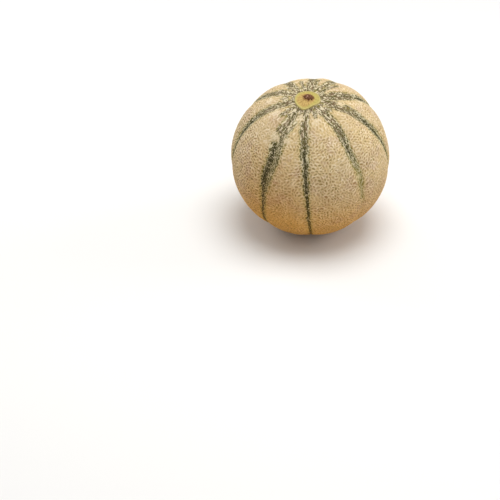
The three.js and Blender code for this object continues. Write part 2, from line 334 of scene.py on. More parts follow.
def latitude_and_longitude(directions):
    latitude = np.arcsin(np.clip(directions[:, 2], -1, 1))
    return latitude, np.arctan2(directions[:, 0], -directions[:, 1])


def wrapped(angle):
    return (angle + np.pi) % (2 * np.pi) - np.pi


def rows_at(rows, levels, latitude):
    """A table with a row for each suture and a column for each level, read at latitudes."""
    downward = [-level for level in levels]
    return np.stack([np.interp(-np.degrees(latitude), downward, row) for row in rows])


def suture_longitudes(latitude):
    """Where each suture runs at these latitudes: one row for each suture."""
    return np.radians(rows_at([course for course, _, _ in SUTURES], SUTURE_LATITUDES, latitude))


def across_sutures(body, latitude, longitude):
    """How far places lie to the right of each suture, in millimetres: one row for each suture."""
    scale = body.radius * np.cos(latitude) / MILLIMETRE
    return scale * wrapped(longitude - suture_longitudes(latitude))


def stem_distance(body, latitude):
    """Over the rind from the middle of the stem scar."""
    return body.radius * (np.pi / 2 - latitude)


def end_distance(body, latitude):
    """Over the rind from the middle of the nearer scar."""
    return stem_distance(body, np.abs(latitude))


def beyond(distance, limits):
    """0 up to the first limit, in millimetres, and 1 from the second on."""
    return smooth_step(distance / MILLIMETRE, *limits)


def suture_depth(body, latitude, longitude):
    height = smooth_step(latitude, -UPPER_HALF, UPPER_HALF)
    share_here = body.lower_share + (1 - body.lower_share) * height
    from_end = end_distance(body, latitude)
    by_stem, by_blossom = beyond(from_end, SUTURES_BEGIN), beyond(from_end, SUTURES_END)
    fade = np.where(latitude > 0, by_stem, by_blossom)
    depth = np.zeros_like(latitude)
    for (_, strength, _), across in zip(SUTURES, across_sutures(body, latitude, longitude)):
        trough = body.trough_depth * bell(across * MILLIMETRE / body.trough_reach)
        crease = body.crease_depth * bell(across * MILLIMETRE / body.crease_reach)
        depth += strength * share_here * fade * (trough + crease)
    return depth


def rib_fullness(latitude, longitude):
    """How much fuller the ribs are here than even ones."""
    lines = suture_longitudes(latitude)
    fullness = np.zeros_like(latitude)
    for (_, _, rib), line, next_line in zip(SUTURES, lines, np.roll(lines, -1, axis=0)):
        half = ((next_line - line) % (2 * np.pi)) / 2
        fullness += rib * MILLIMETRE * bell(1.4 * wrapped(longitude - line - half) / half)
    return fullness * np.cos(latitude)


def body_radius(body, latitude, longitude):
    """From the melon's middle to the rind, without the net and the scars."""
    dip = np.where(latitude > 0, body.stem_dip, body.blossom_dip)
    dip = dip * bell(end_distance(body, latitude) / body.dip_reach)
    flattening = np.where(latitude > 0, body.stem_flattening, body.blossom_flattening)
    round_body = body.radius * (1 - flattening * np.sin(latitude) ** 2) - dip
    return round_body + rib_fullness(latitude, longitude) - suture_depth(body, latitude, longitude)


def scar_outline(longitude):
    """How far out the stem scar reaches here, as a share of its radius."""
    outline = np.full_like(longitude, 0.98)
    for turn, reach, size in SCAR_LOBES:
        outline += size * bell(np.degrees(wrapped(longitude - math.radians(turn))) / reach)
    return outline


def rim_shape(scar, out):
    """The stem scar's rim and the groove outside it, at distances as if the scar were round."""
    rim = scar.rim_height * bell((out - scar.radius) / scar.rim_reach)
    groove_middle = scar.radius + 2.2 * scar.rim_reach
    return rim - scar.groove_depth * bell((out - groove_middle) / scar.rim_reach)


def set_down(body, latitude, longitude, radius):
    """Points that lean as the melon does, standing on its flat spot on the floor."""
    sine, cosine = math.sin(body.lean), math.cos(body.lean)
    x, y, z = (outward(latitude, longitude) * radius[:, None]).T
    leaned = np.stack([x, y * cosine - z * sine, y * sine + z * cosine], axis=1)
    low = leaned[:, 2] < -body.centre_height
    leaned[low] *= (-body.centre_height / leaned[low, 2])[:, None]
    leaned[:, 2] += body.centre_height
    return leaned


# ---- Meshes ----


def placed(name, data):
    """A new object in the scene."""
    thing = bpy.data.objects.new(name, data)
    bpy.context.scene.collection.objects.link(thing)
    return thing


def stacked(faces):
    """One list of triangles from several, each given as three lists of corners."""
    return np.concatenate([np.stack(corners, axis=1) for corners in faces])


def in_a_row(values, kind=np.float32):
    """All the numbers in one row, as Blender takes them."""
    return np.ascontiguousarray(values, kind).ravel()


def mesh_piece(name, points, triangles, material, attributes):
    """A smooth mesh with its own values at each point, riding on the melon in its node's place."""
    mesh = bpy.data.meshes.new(name)
    mesh.vertices.add(len(points))
    mesh.vertices.foreach_set("co", in_a_row(points))
    mesh.loops.add(triangles.size)
    mesh.loops.foreach_set("vertex_index", in_a_row(triangles, np.int32))
    mesh.polygons.add(len(triangles))
    mesh.polygons.foreach_set("loop_start", np.arange(0, triangles.size, 3, dtype=np.int32))
    mesh.update(calc_edges=True)
    mesh.shade_smooth()
    for title, values in attributes.items():
        kind, field = ("FLOAT_VECTOR", "vector") if values.ndim == 2 else ("FLOAT", "value")
        layer = mesh.attributes.new(title, kind, "POINT")
        layer.data.foreach_set(field, in_a_row(values))
    mesh.materials.append(material)
    mesh.validate()
    piece = placed(name, mesh)
    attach(piece, "root")
    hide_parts("melon")


def map_height(latitude):
    """How high a place is on a map that keeps all shapes true, with the stem end at the bottom."""
    return np.log(np.tan((np.pi / 2 - latitude) / 2))


def map_latitude(height):
    return np.pi / 2 - 2 * np.arctan(np.exp(height))


class RindMap:
    """Turns even directions, where cells are drawn alike all over, into real places. Cells are
    longer along the ribs than across them, most of all near the stem scar."""

    def __init__(self, body):
        self.body = body
        self.real = np.linspace(-5, 5, 4001)
        angle = 2 * np.arctan(np.exp(self.real))
        near_stem = 1 - beyond(body.radius * angle, LONG_CELLS_END)
        steps = 1 / (1.12 + 0.8 * near_stem)
        means = (steps[1:] + steps[:-1]) / 2
        even = np.concatenate([[0], np.cumsum(means * np.diff(self.real))])
        self.even = even - np.interp(0, self.real, even)

    def to_real(self, directions):
        latitude, longitude = latitude_and_longitude(directions)
        limit = np.pi / 2 - 1e-4
        height = map_height(np.clip(latitude, -limit, limit))
        latitude = map_latitude(np.interp(height, self.even, self.real))
        return latitude, self.squeezed(latitude, longitude)

    def to_even(self, latitude, longitude):
        height = np.interp(map_height(latitude), self.real, self.even)
        return outward(map_latitude(height), longitude)

    def squeezed(self, latitude, longitude):
        """Places drawn towards the sutures beside them, so that their cells turn narrow there."""
        turns = (longitude - suture_longitudes(latitude)) % (2 * np.pi)
        index = np.arange(len(latitude))
        before = np.argmin(turns, axis=0), index
        after = np.argmax(turns, axis=0), index
        scale = self.body.radius * np.cos(latitude)
        past = scale * turns[before]
        ahead = scale * (2 * np.pi - turns[after])
        gap = np.maximum(past + ahead, 1e-9)
        widths = rows_at(STRIPE_WIDTHS, STRIPE_LATITUDES, latitude) * MILLIMETRE
        reach = 1.2 * widths + 1 * MILLIMETRE
        pull_back = past * bell(past / reach[before]) * (ahead / gap) ** 2
        pull_on = ahead * bell(ahead / reach[after]) * (past / gap) ** 2
        shift = 0.64 * (pull_on - pull_back)
        return longitude + shift / np.maximum(scale, 1e-6)


def ring_directions(rind_map, out, count):
    """Even directions for a ring of places round an end: the stem's, in the shape of its scar, or
    the blossom's if out is under zero."""
    longitude = wrapped(2 * np.pi * np.arange(count) / count)
    outline = scar_outline(longitude) if out > 0 else np.ones(count)
    angle = abs(out) * outline / rind_map.body.radius
    return rind_map.to_even(math.copysign(1, out) * (np.pi / 2 - angle), longitude)


def thin_out(directions, least, draw):
    """Drops directions that are closer to one already kept than the least angle at them."""
    kept = np.zeros((0, 3))
    keep = np.zeros(len(directions), bool)
    for i in draw.permutation(len(directions)):
        if not len(kept) or (kept @ directions[i]).max() < math.cos(least[i]):
            kept = np.concatenate([kept, directions[i : i + 1]])
            keep[i] = True
    return keep


def rows_of_cells(body, spacing, unevenness, draw):
    """Even directions in rows round the melon, each a little off its place."""
    rows = round(np.pi * body.radius / (spacing * math.sqrt(3) / 2))
    step = np.pi / rows
    places = []
    for row in range(1, rows):
        level = np.pi / 2 - row * step
        count = round(2 * np.pi * body.radius * math.cos(level) / spacing)
        if count < 3:
            continue
        stray = draw.uniform(-1, 1, (2, count)) * unevenness
        longitude = 2 * np.pi * (np.arange(count) + draw.random() + stray[0]) / count
        places.append(outward(level + stray[1] * step, longitude))
    return np.concatenate(places)


def cell_middles(rind_map, net, scar):
    """Even directions for the middles of all cells. The last ones stand under the two scars."""
    body = rind_map.body
    draw = np.random.default_rng(net.seed)
    coarse = rows_of_cells(body, net.spacing, net.unevenness, draw)
    fine = rows_of_cells(body, net.spacing * net.stripe_share, net.unevenness, draw)
    cells = np.concatenate([coarse, fine])
    is_fine = np.arange(len(cells)) >= len(coarse)
    latitude, longitude = rind_map.to_real(cells)
    green, _ = green_share(body, latitude, longitude)
    out = end_distance(body, latitude)
    green = green * beyond(out, FINE_CELLS_BEGIN)
    stem_border = (scar.radius + 1.6 * MILLIMETRE) * scar_outline(longitude)
    bare = np.where(latitude > 0, out < stem_border, out < scar.button_radius)
    kept = ~bare & ((green > FINE_CELLS_AT) == is_fine)
    cells, green = cells[kept], green[kept]
    spacing = np.where(green > FINE_CELLS_AT, net.stripe_share, 1) * net.spacing
    least = 0.55 * spacing / body.radius
    striped = green > 0.2
    keep = ~striped
    keep[striped] = thin_out(cells[striped], least[striped], draw)
    cells = cells[keep]
    hidden = (
        (scar.radius + 0.4 * MILLIMETRE, 56),
        (scar.radius * 0.8, 30),
        (scar.radius * 0.4, 12),
        (scar.radius * 0.02, 3),
        (-scar.button_radius * 0.8, 14),
        (-scar.button_radius * 0.4, 6),
    )
    rings = [ring_directions(rind_map, out, count) for out, count in hidden]
    return np.concatenate([cells, *rings]), len(cells)


def seen_from_cells(middles, cell, corners):
    """The directions round and up the ball at each cell's middle, and how far its corners lie from
    the middle in each."""
    east = unit(np.cross([0, 0, 1], middles))
    north = np.cross(middles, east)
    step = corners - middles[cell]
    return east, north, (step * east[cell]).sum(axis=1), (step * north[cell]).sum(axis=1)


def net_faces(middles):
    """The crossings of the strands, and the ring of crossings round each cell: as two lists of the
    same length, cell by cell and anticlockwise, with the place in the lists that comes next."""
    flat = middles[:, :2] / (1 + middles[:, 2:])
    found = delaunay_2d_cdt([tuple(p) for p in flat], [], [], 0, 1e-9, True)
    original = np.array([ids[0] for ids in found[3]])
    faces = original[np.array(found[2])]

    # The open ring round the blossom pole is one more face, with its crossing at the pole.
    edges = np.concatenate([faces[:, [0, 1]], faces[:, [1, 2]], faces[:, [2, 0]]])
    key, back = edges @ [len(middles), 1], edges @ [1, len(middles)]
    rim = edges[~np.isin(back, key), 0]
    crossings = unit(np.concatenate([middles[faces].sum(axis=1), [[0, 0, -1]]]))

    cell = np.concatenate([faces.ravel(), rim])
    crossing = np.append(np.repeat(np.arange(len(faces)), 3), np.full(len(rim), len(faces)))
    _, _, across, along = seen_from_cells(middles, cell, crossings[crossing])
    order = np.lexsort((np.arctan2(along, across), cell))
    cell, crossing = cell[order], crossing[order]
    following = np.arange(len(cell)) + 1
    starts = np.flatnonzero(np.diff(cell, prepend=-1))
    following[np.append(starts[1:], len(cell)) - 1] = starts
    return crossings, cell, crossing, following


def corky_share(body, latitude, longitude):
    """How much a place belongs to a patch of cork that bridges a stripe."""
    places = outward(latitude, longitude) * body.radius / MILLIMETRE
    rough = 1.3 * ripple(places, 3, seed=14)
    corky = np.zeros_like(latitude)
    for level, turn, reach in BRIDGES:
        middle = outward(math.radians(level), math.radians(turn)) * body.radius / MILLIMETRE
        away = np.linalg.norm(places - middle, axis=1) + rough
        corky = np.maximum(corky, 1 - smooth_step(away, reach - 1.2, reach + 1.2))
    return corky


def stripes(body, latitude, longitude):
    """For each suture, how far places lie to its right, and its stripe's width and darkness."""
    widths = rows_at(STRIPE_WIDTHS, STRIPE_LATITUDES, latitude)
    darkness = rows_at(STRIPE_DARKNESS, STRIPE_LATITUDES, latitude)
    return zip(across_sutures(body, latitude, longitude), widths, darkness)


def green_share(body, latitude, longitude):
    """How much a place belongs to a green stripe, from 0 to 1, and how dark the stripe is."""
    places = outward(latitude, longitude) * body.radius / MILLIMETRE
    rough = 0.35 * ripple(places, 7, seed=3) + 0.35 * ripple(places, 3.5, seed=4)
    green = np.zeros_like(latitude)
    dark = np.zeros_like(latitude)

    def add(near, darkness):
        np.maximum(green, near, out=green)
        np.maximum(dark, near * darkness, out=dark)

    for across, width, darkness in stripes(body, latitude, longitude):
        half = width / 2
        thin = np.minimum(1, half)
        near = 1 - smooth_step(np.abs(across) + rough * thin, half - 1.9, half + 1.7)
        add(near * thin, darkness)
    scale = body.radius * np.cos(latitude) / MILLIMETRE
    for turn, end, width in SHORT_STRIPES:
        across = np.abs(scale * wrapped(longitude - math.radians(turn))) + rough
        near = 1 - smooth_step(across, width / 2 - 1.2, width / 2 + 1)
        add(near * smooth_step(np.degrees(latitude), end - 4, end + 4), 0.85)

    # The fan round the stem scar: a whole ring, and streaks that run out from it.
    from_stem = stem_distance(body, latitude)
    out = from_stem / MILLIMETRE
    rays = np.stack([np.cos(longitude), np.sin(longitude), 0.02 * out], axis=1)
    streaks = ripple(rays, 0.34, seed=5) + 0.6 * ripple(rays, 0.16, seed=6)
    patchy = smooth_step(streaks - 0.06 * (out - 20), -0.1, 0.7) * (1 - beyond(from_stem, FAN_END))
    add(np.maximum(patchy * 0.9, 1 - beyond(from_stem, GREEN_RING_END)), 0.8)
    bare = 1 - corky_share(body, latitude, longitude)
    return green * bare, dark * bare


def core_share(body, latitude, longitude, width):
    """Whether a place lies on the bare dark line down the middle of a stripe, from 0 to 1."""
    core = np.zeros_like(latitude)
    for across, _, darkness in stripes(body, latitude, longitude):
        near = 1 - smooth_step(np.abs(across) * MILLIMETRE, 0.4 * width, 0.9 * width)
        core = np.maximum(core, near * smooth_step(darkness, 0.6, 0.9))
    return core * (end_distance(body, latitude) > FINE_CELLS_BEGIN[0] * MILLIMETRE)


def stripe_trim(body, latitude, longitude):
    """The dark core down each stripe, the unbroken line that the core narrows to, and the
    yellow-green skin on both sides of the stripe. Core and line cross one half at their edges."""
    core = np.zeros_like(latitude)
    line = np.zeros_like(latitude)
    glow = np.zeros_like(latitude)
    low = 1 - smooth_step(latitude, math.radians(15), math.radians(50))
    beyond_fan = beyond(end_distance(body, latitude), CORES_BEGIN)
    for shift, stripe in zip(CORE_SHIFTS, stripes(body, latitude, longitude)):
        across, width, darkness = stripe
        strength = smooth_step(darkness, 0.5, 1) * beyond_fan
        half = np.maximum(1.2, 0.17 * width)
        here = np.clip(1 - np.abs(across - shift * width) / (2 * half), 0, 1) * strength
        core = np.maximum(core, here)
        line = np.maximum(line, here * (1 - smooth_step(width, 3, 6)))
        beside = 1 - smooth_step(np.abs(across), width / 2, width / 2 + 4)
        glow = np.maximum(glow, beside * np.minimum(1, width / 2) * (0.4 + 0.6 * low))
    return {"core": core, "line": line, "glow": glow}


def stripe_places(body, latitude, longitude):
    """Places measured across and along the nearest suture, in millimetres."""
    rows = across_sutures(body, latitude, longitude)
    nearest = np.argmin(np.abs(rows), axis=0)
    across = rows[nearest, np.arange(len(latitude))]
    along = stem_distance(body, latitude) / MILLIMETRE
    return np.stack([across, along, 10.0 * nearest], axis=1)


def area_on_ball(a, b, c):
    """Twice the area of small triangles on a ball of radius 1, under zero if they are folded."""
    return (np.cross(b - a, c - a) * (a + b + c)).sum(axis=1) / 3


def long_axes(middles, cell, corners, stray):
    """The line along which each cell is longest, turned by its own stray angle."""
    east, north, across, along = seen_from_cells(middles, cell, corners)
    difference = np.bincount(cell, across**2 - along**2, len(middles))
    product = np.bincount(cell, 2 * across * along, len(middles))
    turn = (0.5 * np.arctan2(product, difference) + stray)[:, None]
    return np.cos(turn) * east + np.sin(turn) * north


def floor_edges(middles, cell, corners, following, line_of_cell, reach, longer):
    """The edge of each cell's floor, and whether the strip outside it is cut from its second
    corner. A floor whose edge would fold over the strands is made less long."""
    step = corners - middles[cell]
    line = line_of_cell[cell]
    along = (step * line).sum(axis=1, keepdims=True) * line
    longer = longer.copy()
    then = corners[following]
    for _ in range(10):
        along_reach = np.minimum(FURTHEST_REACH, reach * longer)[cell][:, None]
        across_reach = (reach / longer)[cell][:, None]
        edge = unit(middles[cell] + along_reach * along + across_reach * (step - along))
        edge_then = edge[following]
        from_first = np.minimum(
            area_on_ball(corners, then, edge_then), area_on_ball(corners, edge_then, edge)
        )
        from_second = np.minimum(
            area_on_ball(corners, then, edge), area_on_ball(then, edge_then, edge)
        )
        folded = cell[np.maximum(from_first, from_second) < LEAST_AREA]
        longer[folded] = 1 + 0.75 * (longer[folded] - 1)
    return edge, from_second > from_first


def rind_mesh(body, net, scar):
    """Points, triangles and values of the netted rind."""
    rind_map = RindMap(body)
    middles, cell_count = cell_middles(rind_map, net, scar)
    crossings, cell, crossing, following = net_faces(middles)
    draw = np.random.default_rng(net.seed + 1)
    count = len(middles)
    is_cell = np.arange(count) < cell_count
    crossing_place = rind_map.to_real(crossings)
    corners = outward(*crossing_place)[crossing]

    # How green each cell is, and how far its bare floor reaches along and across its own line.
    middles = unit(np.stack([np.bincount(cell, part, count) for part in corners.T], axis=1))
    middle_place = latitude_and_longitude(middles)
    green, dark = green_share(body, *middle_place)
    tone = draw.random(count)
    cork_cells = is_cell & (draw.random(count) < WHOLE_CORK * green)
    pit_share = net.pit_share * draw.uniform(*PIT_SIZES, count)
    reach = pit_share + (net.floor_share - pit_share) * green
    reach = np.where(is_cell, reach, 0.5)
    longer = 1 + draw.uniform(*PIT_LENGTHS, count) * (1 - green) + PIT_LENGTHS[0] * green
    stray = PIT_STRAY * draw.normal(size=(count, 3))[:, 0]

    # The crossings: whole on the ribs, with gaps in a stripe.
    crossing_green, crossing_dark = green_share(body, *crossing_place)
    on_core = core_share(body, *crossing_place, net.core_width)
    chance = np.maximum(net.broken * crossing_green, 0.7 * on_core)
    broken = draw.random(len(crossings)) < chance
    least_strength = 0.7 - 0.22 * crossing_green
    strength = draw.uniform(0, 1, len(crossings)) * (1 - least_strength) + least_strength
    strength = np.where(broken, 0, strength)

    up_the_stripe = unit(np.array([0, 0, 1]) - middles[:, 2:] * middles)
    line_of_cell = long_axes(middles, cell, corners, stray)
    line_of_cell = np.where((green > 0.5)[:, None], up_the_stripe, line_of_cell)
    edge, cut_from_second = floor_edges(
        middles, cell, corners, following, line_of_cell, reach, longer
    )
    edge_place = latitude_and_longitude(edge)
    edge_green, edge_dark = green_share(body, *edge_place)
    shoulder = SHOULDERS[0] * (1 - green[cell]) + SHOULDERS[1] * green[cell]
    edge_cork = np.where(cork_cells[cell], 0.8, shoulder * strength[crossing])
    middle_cork = draw.uniform(-0.3, 0.4, count) * (1 - green)
    middle_cork = np.where(cork_cells, 0.9, middle_cork)
    middle_cork = np.where(is_cell, middle_cork, 1)

    # All the points in one list: the crossings, the floors' edges, and the cells' middles.
    cork = np.concatenate([strength, edge_cork, middle_cork])
    greenness = np.concatenate([crossing_green, edge_green, green])
    latitude, longitude = np.concatenate([crossing_place, edge_place, middle_place], axis=1)
    depth = net.pit_depth + (net.stripe_depth - net.pit_depth) * greenness
    height = cork * (net.rise + depth) - depth
    from_stem = stem_distance(body, latitude) / scar_outline(longitude)
    from_blossom = stem_distance(body, -latitude)
    under_scar = 1 - smooth_step(from_stem, scar.radius, scar.radius + 1.2 * MILLIMETRE)
    button = scar.button_radius
    under_button = 1 - smooth_step(from_blossom, button - 1 * MILLIMETRE, button)
    covered = np.maximum(under_scar, under_button)
    radius = body_radius(body, latitude, longitude) + height * (1 - covered)
    radius += rim_shape(scar, from_stem) * (1 - under_scar) - 0.9 * MILLIMETRE * covered
    points = set_down(body, latitude, longitude, radius)

    then = crossing[following]
    edge_here = len(crossings) + np.arange(len(cell))
    edge_then = len(crossings) + following
    centre = len(crossings) + len(cell) + cell
    triangles = (
        (crossing, then, np.where(cut_from_second, edge_here, edge_then)),
        (np.where(cut_from_second, then, crossing), edge_then, edge_here),
        (edge_here, edge_then, centre),
    )
    values = {
        **stripe_trim(body, latitude, longitude),
        "scuff": corky_share(body, latitude, longitude),
        "cork": cork,
        "green": greenness,
        "dark": np.concatenate([crossing_dark, edge_dark, dark]),
        "tone": np.concatenate([np.full(len(crossings), 0.5), tone[cell], tone]),
        "stripe": stripe_places(body, latitude, longitude),
    }
    return points, stacked(triangles), values


def disc_piece(
    name, material, body, form, reach, rings, points_round, depth,
    end=1, middle=(0, 0), outline=np.ones_like,
):
    """A closed disc on the rind at the stem end (1) or the blossom end (-1). Its form gives the
    height over the body and the values at each place, from how far it lies across and along from
    the end. Its rings are even, and its outline stretches them round it."""
    turn = 2 * np.pi * np.arange(points_round) / points_round
    around = np.stack([np.cos(turn), np.sin(turn)])
    radii = np.linspace(0, reach, rings + 1)[1:, None] * outline(np.arctan2(around[0], -around[1]))
    top = (radii * around[:, None]).reshape(2, -1)
    under = UNDERSIDE_SHARE * top[:, -points_round:]
    apex = np.zeros((2, 1))
    places = np.concatenate([top, apex, under, apex], axis=1) + np.reshape(middle, (2, 1))
    count = rings * points_round
    heights, values = form(*places[:, : count + 1])
    heights = np.append(heights, np.full(points_round + 1, -depth))
    values = {
        title: np.concatenate([v, np.repeat(v[-2:-1], points_round + 1, axis=0)])
        for title, v in values.items()
    }
    step = np.arange(points_round)
    after = (step + 1) % points_round
    starts = [*range(0, count, points_round), count + 1]
    faces = [(0 * step + count, step, after)]
    for a, b in zip(starts, starts[1:]):
        faces += [(a + step, b + step, b + after), (a + step, b + after, a + after)]
    faces += [(count + 1 + step, 0 * step + count + 1 + points_round, count + 1 + after)]
    x, y = places
    longitude = np.arctan2(x, -y)
    latitude = end * (np.pi / 2 - np.hypot(x, y) / body.radius)
    radius = body_radius(body, latitude, longitude) + heights
    points = set_down(body, latitude, longitude, radius)
    mesh_piece(name, points, stacked(faces)[:, ::end], material, values)


def on_scar(scar, x, y):
    """How far out places lie, as if the stem scar were round, and how far in from its rim."""
    out = np.hypot(x, y) / scar_outline(np.arctan2(x, -y))
    return out, np.clip(1 - out / scar.radius, 0, 1)


def stem_scar_form(scar, edge, x, y):
    draw = np.random.default_rng(CRACK_SEED)
    even_turns = np.arange(CRACKS) + draw.uniform(-0.45, 0.45, CRACKS)
    crack_reaches = draw.uniform(1.2, 2.3, CRACKS)
    longitude = np.arctan2(x, -y)
    out, inward = on_scar(scar, x, y)
    along = np.sin(np.pi * inward)
    furrow = scar.furrow_depth * np.cos(14 * longitude) * along
    sink = -1 * MILLIMETRE * smooth_step(out, edge - 0.9 * MILLIMETRE, edge)
    stub_x, stub_y = STUB_MIDDLE
    from_stub = np.hypot(x - stub_x, y - stub_y) / scar.stub_radius
    turn = np.arctan2(x - stub_x, stub_y - y)
    rays = np.stack([np.cos(turn), np.sin(turn), 0.2 * from_stub], axis=1)
    fine = 0.12 * MILLIMETRE * ripple(rays, 0.35, seed=8) * along
    crack = np.zeros_like(out)
    for place, reach in zip(2 * np.pi * even_turns / CRACKS, crack_reaches):
        across = wrapped(turn - place) * from_stub * scar.stub_radius
        fade = 1 - smooth_step(from_stub, 0.5 * reach, reach)
        crack = np.maximum(crack, bell(across / scar.crack_reach) * fade)
    zone = np.hypot(x + 1.5 * MILLIMETRE, y + 1 * MILLIMETRE) / scar_outline(longitude)
    values = {
        "rim": smooth_step(zone, 0.5 * scar.radius, 0.98 * scar.radius),
        "crest": bell((out - scar.radius) / (0.6 * MILLIMETRE)),
        "edge": smooth_step(out, scar.radius + 0.5 * MILLIMETRE, edge - 0.3 * MILLIMETRE),
        "stain": bell((from_stub - 0.25) / 1.1) + 0.6 * crack,
        "rays": rays,
    }
    height = rim_shape(scar, out) + scar.cone_rise * inward + furrow + fine + sink
    return height - scar.crack_depth * crack, values


def stub_form(scar, x, y):
    _, inward = on_scar(scar, x, y)
    places = in_millimetres(x, y, 0)
    across, along = (x - STUB_MIDDLE[0]) / scar.stub_radius, (y - STUB_MIDDLE[1]) / scar.stub_radius
    out = np.hypot(across / 1.15, along / 0.85) + 0.12 * ripple(places, 2.2, seed=9)
    rise = scar.stub_rise * (1 - smooth_step(out, 0.35, 1.05))
    fibres = 0.25 * MILLIMETRE * (ripple(places, 1.1, seed=10) + ripple(places, 3, seed=12))
    torn = fibres * (1 - smooth_step(out, 0.5, 1.1))
    sink = -0.8 * MILLIMETRE * smooth_step(out, 0.95, 1.2)
    values = {"torn": 1 - smooth_step(out, 0.2, 0.9)}
    return scar.cone_rise * inward + rise + torn + sink, values


def button_outline(longitude):
    return 1 + 0.07 * np.cos(3 * longitude + 1) + 0.05 * np.cos(5 * longitude)


def button_form(scar, edge, x, y):
    out = np.hypot(x, y) / button_outline(np.arctan2(x, -y))
    places = in_millimetres(x, y, 0)
    half = scar.button_radius / 2
    ring = bell((out - half) / half)
    rough = 0.16 * MILLIMETRE * ripple(places, 1.6, seed=11)
    sink = -0.9 * MILLIMETRE * smooth_step(out, edge - 1.6 * MILLIMETRE, edge)
    return scar.button_rise * ring + rough + sink, {"rim": ring}


# ---- Materials ----


class Value:
    """What a node gives. Sums, products and ramps of it are nodes in their turn."""

    def __init__(self, recipe, socket):
        self.recipe = recipe
        self.socket = socket

    def __add__(self, other):
        return self.recipe.maths("ADD", self, other)

    def __sub__(self, other):
        return self.recipe.maths("SUBTRACT", self, other)

    def __rsub__(self, other):
        return self.recipe.maths("SUBTRACT", other, self)

    def __mul__(self, other):
        return self.recipe.maths("MULTIPLY", self, other)

    def or_more(self, other):
        return self.recipe.maths("MAXIMUM", self, other)

    def ramp(self, start, end, low=0.0, high=1.0):
        """Goes smoothly from low to high while this goes from start to end."""
        limits = {"From Min": start, "From Max": end, "To Min": low, "To Max": high}
        settings = {"interpolation_type": "SMOOTHSTEP"}
        return self.recipe.get("Result", "ShaderNodeMapRange", settings, Value=self, **limits)


class Recipe:
    """Adds nodes to a material or a node group, and joins them."""

    def __init__(self, tree):
        self.tree = tree

    def node(self, kind, settings=None, **inputs):
        node = self.tree.nodes.new(kind)
        for name, value in (settings or {}).items():
            setattr(node, name, value)
        for name, value in inputs.items():
            name = name.replace("_", " ")
            self.feed(next(s for s in node.inputs if s.name == name and s.enabled), value)
        return node

    def feed(self, socket, value):
        if isinstance(value, Value):
            self.tree.links.new(value.socket, socket)
        elif socket.type == "RGBA" and len(value) == 3:
            socket.default_value = (*value, 1)
        else:
            socket.default_value = value

    def get(self, output, kind, settings=None, **inputs):
        """One output of a new node."""
        return Value(self, self.node(kind, settings, **inputs).outputs[output])

    def all_of(self, node):
        return [Value(self, socket) for socket in node.outputs]

    def maths(self, operation, *values, clamp=False):
        node = self.node("ShaderNodeMath", {"operation": operation, "use_clamp": clamp})
        for socket, value in zip(node.inputs, values):
            self.feed(socket, value)
        return Value(self, node.outputs[0])

    def mix(self, factor, first, second, blend="MIX"):
        settings = {"data_type": "RGBA", "blend_type": blend}
        return self.get("Result", "ShaderNodeMix", settings, Factor=factor, A=first, B=second)

    def tinted(self, colour, tint):
        return self.mix(1.0, colour, tint, "MULTIPLY")

    def coats(self, colour, *coats):
        """A colour with others over it: each coat is how much of it shows, and its colour."""
        for share_seen, coat in coats:
            colour = self.mix(share_seen, colour, coat)
        return colour

    def noise(self, vector, scale, detail, roughness, distortion=0.0):
        inputs = {"Scale": scale, "Detail": detail, "Roughness": roughness}
        kind = "ShaderNodeTexNoise"
        return self.get("Fac", kind, Vector=vector, Distortion=distortion, **inputs)

    def value_of(self, attribute, output="Fac"):
        return self.get(output, "ShaderNodeAttribute", {"attribute_name": attribute})

    def place(self):
        return self.get("Object", "ShaderNodeTexCoord")

    def parts(self, vector):
        return self.all_of(self.node("ShaderNodeSeparateXYZ", Vector=vector))

    def streaks(self, scale, distortion=0.0):
        """Noise across and along the stripes, finer or longer in each direction by its scale."""
        place = self.value_of("stripe", "Vector")
        settings = {"vector_type": "POINT"}
        place = self.get("Vector", "ShaderNodeMapping", settings, Vector=place, Scale=scale)
        return self.noise(place, 1, 3, 0.6, distortion)

    def effect(self, name, **inputs):
        """What a shared node group gives."""
        settings = {"node_tree": shared_group(name)}
        return self.all_of(self.node("ShaderNodeGroup", settings, **inputs))

    def relief(self, height, strength, distance):
        kind = "ShaderNodeBump"
        return self.get("Normal", kind, Height=height, Strength=strength, Distance=distance)

    def surface(self, **look):
        """The shader, with what is fed into it, and the output."""
        shader = self.get("BSDF", "ShaderNodeBsdfPrincipled", **look)
        self.node("ShaderNodeOutputMaterial", Surface=shader)


def dry_grain(recipe, place, scale):
    """The fine grain of dry cork: how light each speck is, and how high."""
    coarse = recipe.noise(place, scale * 900, 3, 0.6)
    fine = recipe.noise(place, scale * 2600, 2, 0.6)
    both = coarse * 0.6 + fine * 0.4
    return both.ramp(0.3, 0.7), both


def mottle(recipe, place, scale, first, second):
    """Broad, soft patches where a colour turns to another one."""
    mask = recipe.noise(place, scale, 3, 0.55).ramp(0.38, 0.62)
    return recipe.mix(mask, first, second), mask


# Each node group: what makes it, what it takes in, with its default, and what it gives out.
GROUPS = {
    "Dry grain": (dry_grain, {"Place": None, "Scale": 1.0}, ("Light", "Height")),
    "Mottle": (
        mottle,
        {"Place": None, "Scale": 40.0, "First": (1, 1, 1, 1), "Second": (0, 0, 0, 1)},
        ("Color", "Mask"),
    ),
}
KINDS_OF_SOCKET = {
    "Place": "NodeSocketVector",
    "First": "NodeSocketColor",
    "Second": "NodeSocketColor",
    "Color": "NodeSocketColor",
}


